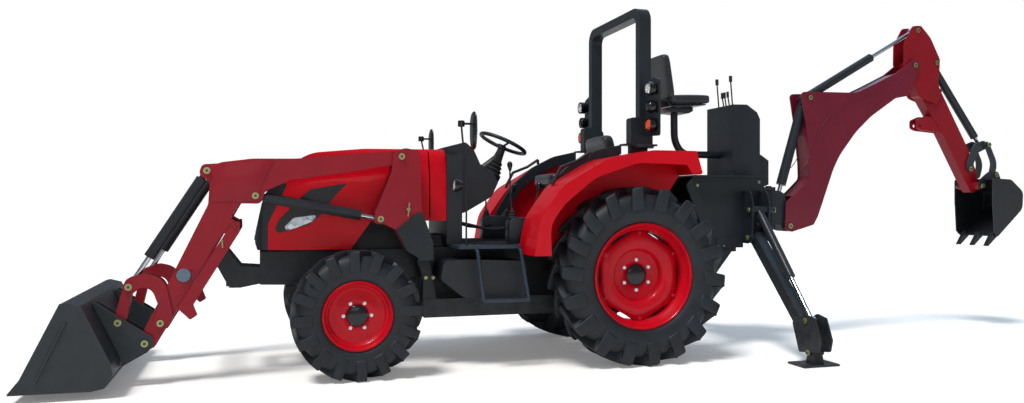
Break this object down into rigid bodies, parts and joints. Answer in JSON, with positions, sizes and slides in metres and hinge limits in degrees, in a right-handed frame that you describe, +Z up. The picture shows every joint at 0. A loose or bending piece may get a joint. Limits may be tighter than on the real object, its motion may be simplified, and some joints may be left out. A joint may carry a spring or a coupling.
{
  "type": "backhoe loader",
  "caption": "Compact tractor with a front loader bucket and a rear-mounted backhoe with its own seat, stabilisers, jointed boom, dipper and toothed bucket.",
  "frame": {"origin": "on the ground, at the bottom centre of the whole machine's box", "axes": "+X forward along the machine, towards the loader bucket; +Y to the machine's left; +Z up"},
  "size_m": [8.311, 2.5784, 2.8198],
  "materials": {
    "black_frame": "dark grey semi-gloss paint",
    "cast_metal": "painted castings",
    "red_body": "bright red gloss paint",
    "red_loader": "red gloss paint",
    "red_boom": "dark red gloss paint",
    "black_plastic": "moulded black plastic",
    "tyre_rubber": "black tyre rubber",
    "seat_cover": "black vinyl cover over foam",
    "lamp_plastic": "lamp housings and lenses",
    "chrome_rod": "hard chrome piston rod",
    "bucket_steel": "dark grey paint, worn at the edge"
  },
  "bodies": {
    "tractor": {"chassis_frame": "black_frame", "engine_block": "cast_metal", "transmission": "cast_metal", "front_axle": "cast_metal", "cowl": "black_plastic", "body_panels": "red_body", "platform": "black_frame", "fuel_tanks": "black_plastic", "fender_trims": "black_plastic", "rops": "black_frame", "lamps": "lamp_plastic", "driver_seat": "seat_cover", "controls": "black_plastic", "loader_masts": "red_loader", "backhoe_frame": "black_frame", "control_tower": "black_frame", "backhoe_seat": "seat_cover"},
    "hood": {"bonnet": "red_body", "grille": "black_plastic", "headlamps": "lamp_plastic"},
    "hand_wheel": {"steering_wheel": "black_plastic"},
    "knuckle_left": {"knuckle_left": "cast_metal"},
    "knuckle_right": {"knuckle_right": "cast_metal"},
    "tie_rod": {"tie_rod": "cast_metal"},
    "loader": {"loader_arms": "red_loader"},
    "lift_barrels": {"lift_barrels": "black_frame"},
    "lift_rods": {"lift_rods": "chrome_rod"},
    "tilt_barrels": {"tilt_barrels": "black_frame"},
    "tilt_rods": {"tilt_rods": "chrome_rod"},
    "curved_links": {"curved_links": "red_loader"},
    "straight_links": {"straight_links": "red_loader"},
    "bucket_group": {"loader_bucket": "bucket_steel", "loader_carrier": "bucket_steel"},
    "parking_stands": {"parking_stands": "red_loader"},
    "swing_casting": {"swing_casting": "black_frame"},
    "boom": {"boom": "red_boom"},
    "boom_barrel": {"boom_barrel": "black_frame"},
    "boom_rod": {"boom_rod": "chrome_rod"},
    "dipper": {"dipper": "red_boom"},
    "dipper_barrel": {"dipper_barrel": "black_frame"},
    "dipper_rod": {"dipper_rod": "chrome_rod"},
    "digging_bucket": {"digging_bucket": "bucket_steel"},
    "bucket_barrel": {"bucket_barrel": "black_frame"},
    "bucket_rod": {"bucket_rod": "chrome_rod"},
    "idler_links": {"idler_links": "bucket_steel"},
    "bucket_link": {"bucket_link": "bucket_steel"},
    "rear_wheel_left": {"rear_tyre_left": "tyre_rubber", "rear_rim_left": "red_body"},
    "rear_wheel_right": {"rear_tyre_right": "tyre_rubber", "rear_rim_right": "red_body"},
    "front_wheel_left": {"front_tyre_left": "tyre_rubber", "front_rim_left": "red_body"},
    "front_wheel_right": {"front_tyre_right": "tyre_rubber", "front_rim_right": "red_body"},
    "stabiliser_leg_left": {"stabiliser_leg_left": "black_frame"},
    "stabiliser_barrel_left": {"stabiliser_barrel_left": "black_frame"},
    "stabiliser_rod_left": {"stabiliser_rod_left": "chrome_rod"},
    "stabiliser_leg_right": {"stabiliser_leg_right": "black_frame"},
    "stabiliser_barrel_right": {"stabiliser_barrel_right": "black_frame"},
    "stabiliser_rod_right": {"stabiliser_rod_right": "chrome_rod"}
  },
  "joints": [
    {"name": "rear_wheel_left_spin", "type": "hinge", "parent": "tractor", "child": "rear_wheel_left", "pos_m": [0.05653, 0.7, 0.655], "axis": [0, 1, 0], "continuous": true},
    {"name": "rear_wheel_right_spin", "type": "hinge", "parent": "tractor", "child": "rear_wheel_right", "pos_m": [0.05653, -0.7, 0.655], "axis": [0, 1, 0], "continuous": true},
    {"name": "front_wheel_left_spin", "type": "hinge", "parent": "knuckle_left", "child": "front_wheel_left", "pos_m": [2.10653, 0.67, 0.437], "axis": [0, 1, 0], "continuous": true},
    {"name": "front_wheel_right_spin", "type": "hinge", "parent": "knuckle_right", "child": "front_wheel_right", "pos_m": [2.10653, -0.67, 0.437], "axis": [0, 1, 0], "continuous": true},
    {"name": "steer_left", "type": "hinge", "parent": "tractor", "child": "knuckle_left", "pos_m": [2.10653, 0.475, 0.437], "axis": [0, 0, 1], "range_deg": [-38, 38]},
    {"name": "steer_right", "type": "hinge", "parent": "tractor", "child": "knuckle_right", "pos_m": [2.10653, -0.475, 0.437], "axis": [0, 0, 1], "range_deg": [-38, 38]},
    {"name": "tie_rod_turn", "type": "hinge", "parent": "knuckle_left", "child": "tie_rod", "pos_m": [1.95653, 0.475, 0.4], "axis": [0, 0, 1], "range_deg": [-38, 38]},
    {"name": "steering_wheel_turn", "type": "hinge", "parent": "tractor", "child": "hand_wheel", "pos_m": [0.88253, 0, 1.658], "axis": [-0.4099, 0, 0.9121], "range_deg": [-456, 456]},
    {"name": "bonnet_open", "type": "hinge", "parent": "tractor", "child": "hood", "pos_m": [1.54853, 0, 1.578], "axis": [0, -1, 0], "range_deg": [0, 55]},
    {"name": "loader_lift", "type": "hinge", "parent": "tractor", "child": "loader", "pos_m": [1.77353, 0, 1.516], "axis": [0, -1, 0], "range_deg": [-3, 70]},
    {"name": "lift_barrel_swing", "type": "hinge", "parent": "loader", "child": "lift_barrels", "pos_m": [2.75853, 0, 1.238], "axis": [0, -1, 0], "range_deg": [-10.87, 0.66]},
    {"name": "lift_rod_slide", "type": "slide", "parent": "lift_barrels", "child": "lift_rods", "axis": [-0.9818, 0, -0.19], "range_m": [-0.02265, 0.50627]},
    {"name": "bucket_tilt", "type": "hinge", "parent": "loader", "child": "bucket_group", "pos_m": [3.44253, 0, 0.281], "axis": [0, 1, 0], "range_deg": [-32, 100]},
    {"name": "curved_link_swing", "type": "hinge", "parent": "loader", "child": "curved_links", "pos_m": [3.35053, 0, 0.406], "axis": [0, 1, 0], "range_deg": [-22.64, 70.33]},
    {"name": "straight_link_swing", "type": "hinge", "parent": "curved_links", "child": "straight_links", "pos_m": [3.54153, 0, 0.647], "axis": [0, 1, 0], "range_deg": [-31.3, 10.15]},
    {"name": "tilt_barrel_swing", "type": "hinge", "parent": "loader", "child": "tilt_barrels", "pos_m": [3.06553, 0, 1.404], "axis": [0, 1, 0], "range_deg": [-1.56, 4.45]},
    {"name": "tilt_rod_slide", "type": "slide", "parent": "tilt_barrels", "child": "tilt_rods", "axis": [0.5323, 0, -0.8466], "range_m": [-0.11158, 0.34658]},
    {"name": "parking_stands_drop", "type": "hinge", "parent": "loader", "child": "parking_stands", "pos_m": [2.89253, 0, 1.03], "axis": [0, 1, 0], "range_deg": [0, 35]},
    {"name": "backhoe_swing", "type": "hinge", "parent": "tractor", "child": "swing_casting", "pos_m": [-1.54347, 0, 0.995], "axis": [0, 0, 1], "range_deg": [-90, 90]},
    {"name": "boom_lower", "type": "hinge", "parent": "swing_casting", "child": "boom", "pos_m": [-1.69847, 0, 0.986], "axis": [0, -1, 0], "range_deg": [0, 75]},
    {"name": "boom_barrel_swing", "type": "hinge", "parent": "boom", "child": "boom_barrel", "pos_m": [-1.90547, 0, 2.112], "axis": [0, -1, 0], "range_deg": [-0.2, 5.51]},
    {"name": "boom_rod_slide", "type": "slide", "parent": "boom_barrel", "child": "boom_rod", "axis": [0.2962, 0, -0.9551], "range_m": [-0.001, 0.3052]},
    {"name": "dipper_out", "type": "hinge", "parent": "boom", "child": "dipper", "pos_m": [-3.03547, 0, 2.451], "axis": [0, 1, 0], "range_deg": [-10, 75]},
    {"name": "dipper_barrel_swing", "type": "hinge", "parent": "boom", "child": "dipper_barrel", "pos_m": [-1.90547, 0, 2.112], "axis": [0, 1, 0], "range_deg": [-0.2678, 0.209]},
    {"name": "dipper_rod_slide", "type": "slide", "parent": "dipper_barrel", "child": "dipper_rod", "axis": [-0.8709, 0, 0.4914], "range_m": [-0.40723, 0.05516]},
    {"name": "bucket_curl", "type": "hinge", "parent": "dipper", "child": "digging_bucket", "pos_m": [-3.76047, 0, 1.346], "axis": [0, -1, 0], "range_deg": [-8, 100]},
    {"name": "idler_swing", "type": "hinge", "parent": "dipper", "child": "idler_links", "pos_m": [-3.69147, 0, 1.508], "axis": [0, -1, 0], "range_deg": [-5.83, 70.58]},
    {"name": "bucket_link_swing", "type": "hinge", "parent": "idler_links", "child": "bucket_link", "pos_m": [-3.86847, 0, 1.735], "axis": [0, -1, 0], "range_deg": [-31.36, 2.69]},
    {"name": "bucket_barrel_swing", "type": "hinge", "parent": "dipper", "child": "bucket_barrel", "pos_m": [-3.29747, 0, 2.487], "axis": [0, -1, 0], "range_deg": [-0.61, 5.31]},
    {"name": "bucket_rod_slide", "type": "slide", "parent": "bucket_barrel", "child": "bucket_rod", "axis": [-0.6047, 0, -0.7964], "range_m": [-0.02645, 0.31913]},
    {"name": "stabiliser_fold_left", "type": "hinge", "parent": "tractor", "child": "stabiliser_leg_left", "pos_m": [-1.15847, 0.41, 0.905], "axis": [1, 0, 0], "range_deg": [-4, 95]},
    {"name": "stabiliser_barrel_swing_left", "type": "hinge", "parent": "tractor", "child": "stabiliser_barrel_left", "pos_m": [-1.15847, 0.43, 1.13], "axis": [1, 0, 0], "range_deg": [-4.34, 98.58]},
    {"name": "stabiliser_rod_slide_left", "type": "slide", "parent": "stabiliser_barrel_left", "child": "stabiliser_rod_left", "axis": [0, 0.6508, -0.7593], "range_m": [-0.33998, 0.01527]},
    {"name": "stabiliser_fold_right", "type": "hinge", "parent": "tractor", "child": "stabiliser_leg_right", "pos_m": [-1.15847, -0.41, 0.905], "axis": [-1, 0, 0], "range_deg": [-4, 95]},
    {"name": "stabiliser_barrel_swing_right", "type": "hinge", "parent": "tractor", "child": "stabiliser_barrel_right", "pos_m": [-1.15847, -0.43, 1.13], "axis": [-1, 0, 0], "range_deg": [-4.34, 98.58]},
    {"name": "stabiliser_rod_slide_right", "type": "slide", "parent": "stabiliser_barrel_right", "child": "stabiliser_rod_right", "axis": [0, -0.6508, -0.7593], "range_m": [-0.33998, 0.01527]}
  ],
  "couplings": [
    {"joint": "steer_right", "follows": "steer_left", "ratio": 1},
    {"joint": "tie_rod_turn", "follows": "steer_left", "ratio": -1},
    {"joint": "steering_wheel_turn", "follows": "steer_left", "ratio": 12},
    {"joint": "lift_barrel_swing", "follows": "loader_lift", "ratio": -0.14946},
    {"joint": "lift_rod_slide", "follows": "loader_lift", "m_per_rad": 0.40546},
    {"joint": "curved_link_swing", "follows": "bucket_tilt", "ratio": 0.68759},
    {"joint": "straight_link_swing", "follows": "bucket_tilt", "ratio": -0.30485},
    {"joint": "tilt_barrel_swing", "follows": "bucket_tilt", "ratio": 0.041638},
    {"joint": "tilt_rod_slide", "follows": "bucket_tilt", "m_per_rad": 0.19412},
    {"joint": "boom_barrel_swing", "follows": "boom_lower", "ratio": 0.069451},
    {"joint": "boom_rod_slide", "follows": "boom_lower", "m_per_rad": 0.22784},
    {"joint": "dipper_barrel_swing", "follows": "dipper_out", "ratio": -0.000886},
    {"joint": "dipper_rod_slide", "follows": "dipper_out", "m_per_rad": -0.30425},
    {"joint": "idler_swing", "follows": "bucket_curl", "ratio": 0.69003},
    {"joint": "bucket_link_swing", "follows": "bucket_curl", "ratio": -0.30554},
    {"joint": "bucket_barrel_swing", "follows": "bucket_curl", "ratio": 0.050097},
    {"joint": "bucket_rod_slide", "follows": "bucket_curl", "m_per_rad": 0.1787},
    {"joint": "stabiliser_barrel_swing_left", "follows": "stabiliser_fold_left", "ratio": 1.0153},
    {"joint": "stabiliser_rod_slide_left", "follows": "stabiliser_fold_left", "m_per_rad": -0.20044},
    {"joint": "stabiliser_barrel_swing_right", "follows": "stabiliser_fold_right", "ratio": 1.0153},
    {"joint": "stabiliser_rod_slide_right", "follows": "stabiliser_fold_right", "m_per_rad": -0.20044}
  ]
}
